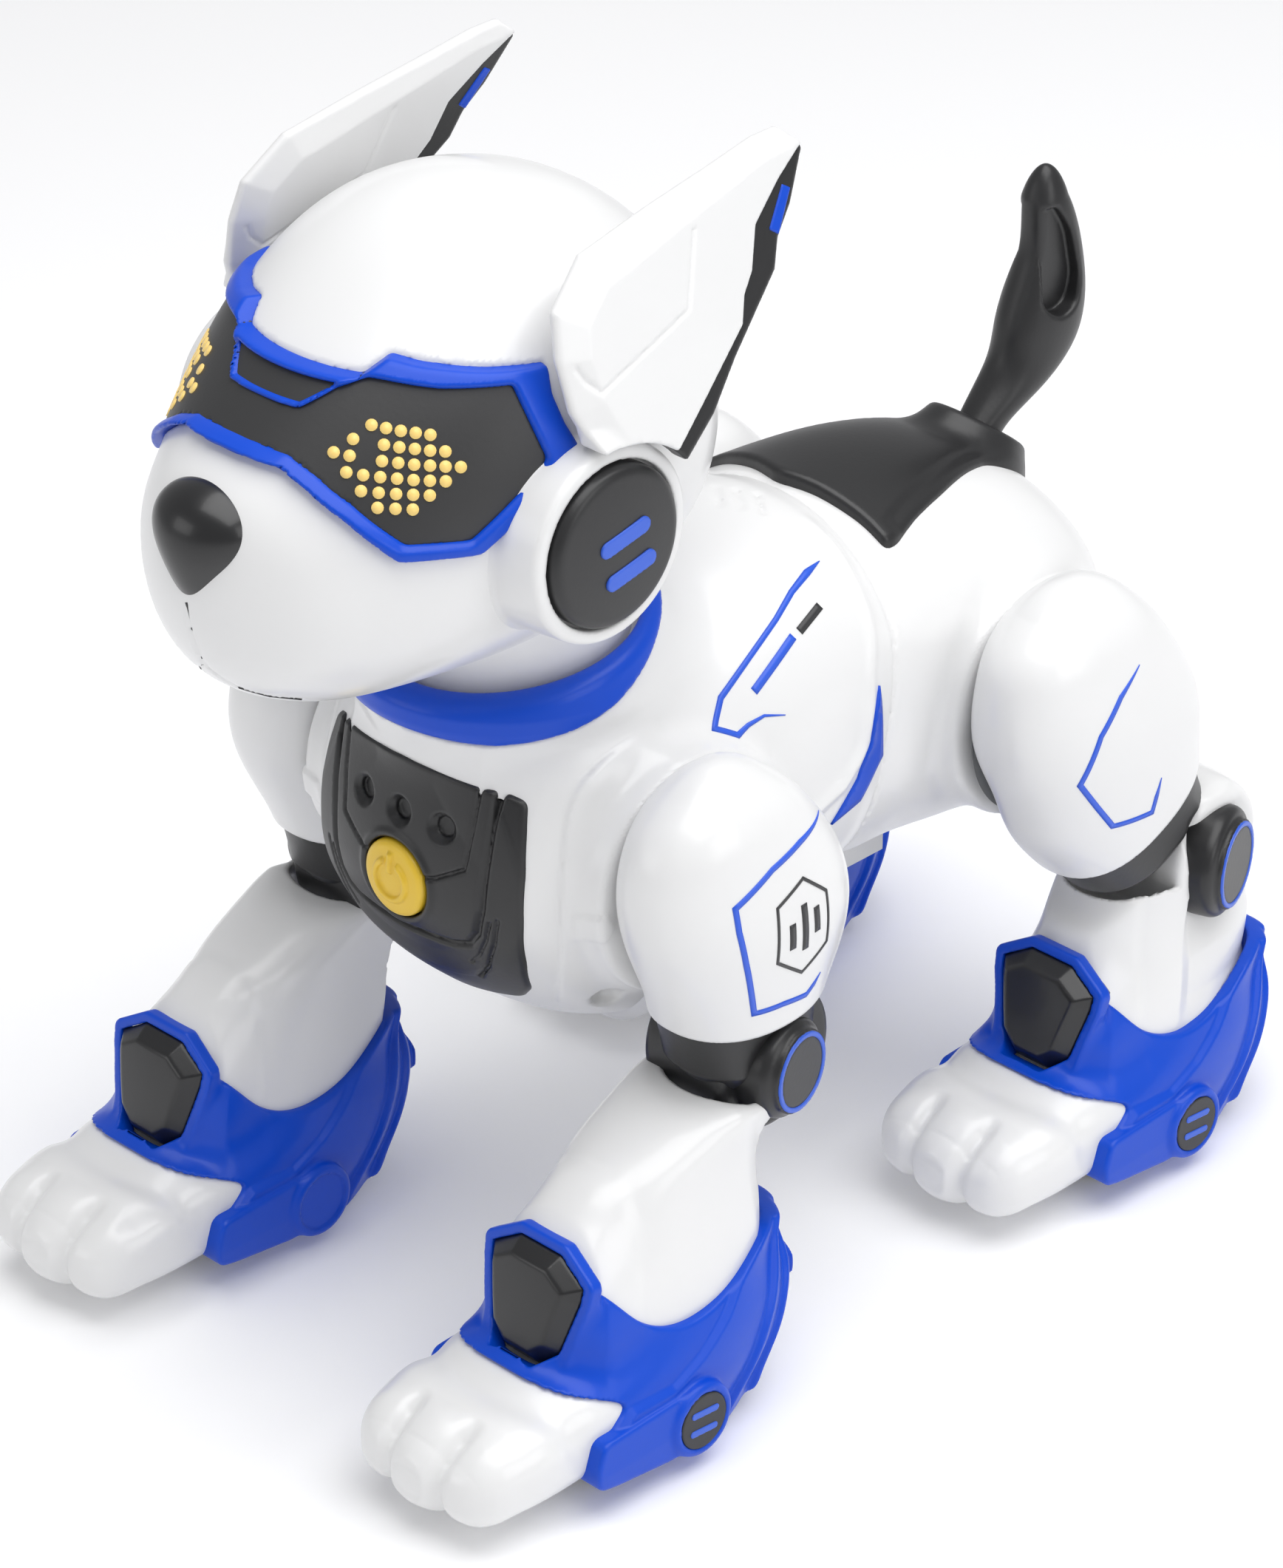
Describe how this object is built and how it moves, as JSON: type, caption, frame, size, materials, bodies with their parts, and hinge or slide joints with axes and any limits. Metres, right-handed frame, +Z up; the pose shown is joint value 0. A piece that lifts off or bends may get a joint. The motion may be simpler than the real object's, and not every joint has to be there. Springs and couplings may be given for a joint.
{
  "type": "robot dog toy",
  "caption": "Walking robot dog toy with visor head, tilting ears, wagging tail, power button and jointed legs that stand on wheeled paws.",
  "frame": {"origin": "on the ground, under the middle of the toy's bounding box", "axes": "+Z up, the dog faces -Y, its left side is +X"},
  "size_m": [0.159, 0.249, 0.2545],
  "materials": {
    "white_plastic": "gloss",
    "black_plastic": "satin",
    "blue_plastic": "gloss",
    "grey_plastic": "satin",
    "battery_wrap": "shrink wrap",
    "circuit_board": "satin",
    "steel": "brushed",
    "lens": "gloss",
    "gloss_black": "gloss",
    "yellow_plastic": "gloss",
    "wheel_rubber": "matte"
  },
  "bodies": {
    "torso": {"torso_shell_left": "white_plastic", "torso_shell_right": "white_plastic", "chest_panel": "black_plastic", "saddle_cover": "black_plastic", "waist_trims": "blue_plastic", "neck_collar": "blue_plastic", "battery_door": "grey_plastic", "battery_pack": "battery_wrap", "control_board": "circuit_board", "speaker": "black_plastic", "gearmotors": "grey_plastic", "shell_screws": "steel"},
    "head": {"head_shell_upper": "white_plastic", "head_shell_lower": "white_plastic", "visor_frame": "blue_plastic", "visor_lens": "lens", "nose": "gloss_black", "eye_led_board": "circuit_board", "ear_pods": "white_plastic", "ear_discs": "black_plastic", "neck_post": "black_plastic"},
    "ear_left": {"ear_shell_left": "white_plastic", "ear_back_left": "black_plastic"},
    "ear_right": {"ear_shell_right": "white_plastic", "ear_back_right": "black_plastic"},
    "tail": {"tail": "black_plastic"},
    "power_button": {"power_button": "yellow_plastic"},
    "thigh_front_left": {"thigh_shell_front_left": "white_plastic", "hip_hub_front_left": "grey_plastic"},
    "shank_front_left": {"knee_hub_front_left": "black_plastic", "shank_front_left": "white_plastic", "paw_front_left": "white_plastic", "ankle_guard_front_left": "blue_plastic", "ankle_pad_front_left": "black_plastic"},
    "wheel_front_left": {"wheel_front_left": "wheel_rubber"},
    "thigh_front_right": {"thigh_shell_front_right": "white_plastic", "hip_hub_front_right": "grey_plastic"},
    "shank_front_right": {"knee_hub_front_right": "black_plastic", "shank_front_right": "white_plastic", "paw_front_right": "white_plastic", "ankle_guard_front_right": "blue_plastic", "ankle_pad_front_right": "black_plastic"},
    "wheel_front_right": {"wheel_front_right": "wheel_rubber"},
    "thigh_rear_left": {"thigh_shell_rear_left": "white_plastic", "hip_hub_rear_left": "grey_plastic"},
    "shank_rear_left": {"knee_hub_rear_left": "black_plastic", "shank_rear_left": "white_plastic", "paw_rear_left": "white_plastic", "ankle_guard_rear_left": "blue_plastic", "ankle_pad_rear_left": "black_plastic"},
    "wheel_rear_left": {"wheel_rear_left": "wheel_rubber"},
    "thigh_rear_right": {"thigh_shell_rear_right": "white_plastic", "hip_hub_rear_right": "grey_plastic"},
    "shank_rear_right": {"knee_hub_rear_right": "black_plastic", "shank_rear_right": "white_plastic", "paw_rear_right": "white_plastic", "ankle_guard_rear_right": "blue_plastic", "ankle_pad_rear_right": "black_plastic"},
    "wheel_rear_right": {"wheel_rear_right": "wheel_rubber"}
  },
  "joints": [
    {"name": "head_turn", "type": "hinge", "parent": "torso", "child": "head", "pos_m": [0, -0.0415, 0.15], "axis": [0, 0, 1], "range_deg": [-30, 30]},
    {"name": "ear_tilt_left", "type": "hinge", "parent": "head", "child": "ear_left", "pos_m": [0.0466, -0.0625, 0.1915], "axis": [1, 0, 0], "range_deg": [-15, 15]},
    {"name": "ear_tilt_right", "type": "hinge", "parent": "head", "child": "ear_right", "pos_m": [-0.0466, -0.0625, 0.1915], "axis": [1, 0, 0], "range_deg": [-15, 15]},
    {"name": "tail_wag", "type": "hinge", "parent": "torso", "child": "tail", "pos_m": [0, 0.0915, 0.141], "axis": [0, 0.342, 0.9397], "range_deg": [-30, 30]},
    {"name": "power_press", "type": "slide", "parent": "torso", "child": "power_button", "axis": [0, 1, 0], "range_m": [0, 0.0012], "stiffness_N_per_m": 400},
    {"name": "hip_front_left", "type": "hinge", "parent": "torso", "child": "thigh_front_left", "pos_m": [0.045, -0.0305, 0.107], "axis": [-1, 0, 0], "range_deg": [-25, 45]},
    {"name": "knee_front_left", "type": "hinge", "parent": "thigh_front_left", "child": "shank_front_left", "pos_m": [0.051, -0.0295, 0.07], "axis": [-1, 0, 0], "range_deg": [-20, 15]},
    {"name": "wheel_spin_front_left", "type": "hinge", "parent": "shank_front_left", "child": "wheel_front_left", "pos_m": [0.056, -0.083, 0.008], "axis": [-1, 0, 0], "continuous": true},
    {"name": "hip_front_right", "type": "hinge", "parent": "torso", "child": "thigh_front_right", "pos_m": [-0.045, -0.0305, 0.107], "axis": [-1, 0, 0], "range_deg": [-25, 45]},
    {"name": "knee_front_right", "type": "hinge", "parent": "thigh_front_right", "child": "shank_front_right", "pos_m": [-0.051, -0.0295, 0.07], "axis": [-1, 0, 0], "range_deg": [-20, 15]},
    {"name": "wheel_spin_front_right", "type": "hinge", "parent": "shank_front_right", "child": "wheel_front_right", "pos_m": [-0.056, -0.083, 0.008], "axis": [-1, 0, 0], "continuous": true},
    {"name": "hip_rear_left", "type": "hinge", "parent": "torso", "child": "thigh_rear_left", "pos_m": [0.045, 0.0695, 0.105], "axis": [-1, 0, 0], "range_deg": [-35, 20]},
    {"name": "knee_rear_left", "type": "hinge", "parent": "thigh_rear_left", "child": "shank_rear_left", "pos_m": [0.051, 0.1035, 0.062], "axis": [-1, 0, 0], "range_deg": [-20, 15]},
    {"name": "wheel_spin_rear_left", "type": "hinge", "parent": "shank_rear_left", "child": "wheel_rear_left", "pos_m": [0.056, 0.067, 0.008], "axis": [-1, 0, 0], "continuous": true},
    {"name": "hip_rear_right", "type": "hinge", "parent": "torso", "child": "thigh_rear_right", "pos_m": [-0.045, 0.0695, 0.105], "axis": [-1, 0, 0], "range_deg": [-35, 20]},
    {"name": "knee_rear_right", "type": "hinge", "parent": "thigh_rear_right", "child": "shank_rear_right", "pos_m": [-0.051, 0.1035, 0.062], "axis": [-1, 0, 0], "range_deg": [-20, 15]},
    {"name": "wheel_spin_rear_right", "type": "hinge", "parent": "shank_rear_right", "child": "wheel_rear_right", "pos_m": [-0.056, 0.067, 0.008], "axis": [-1, 0, 0], "continuous": true}
  ]
}
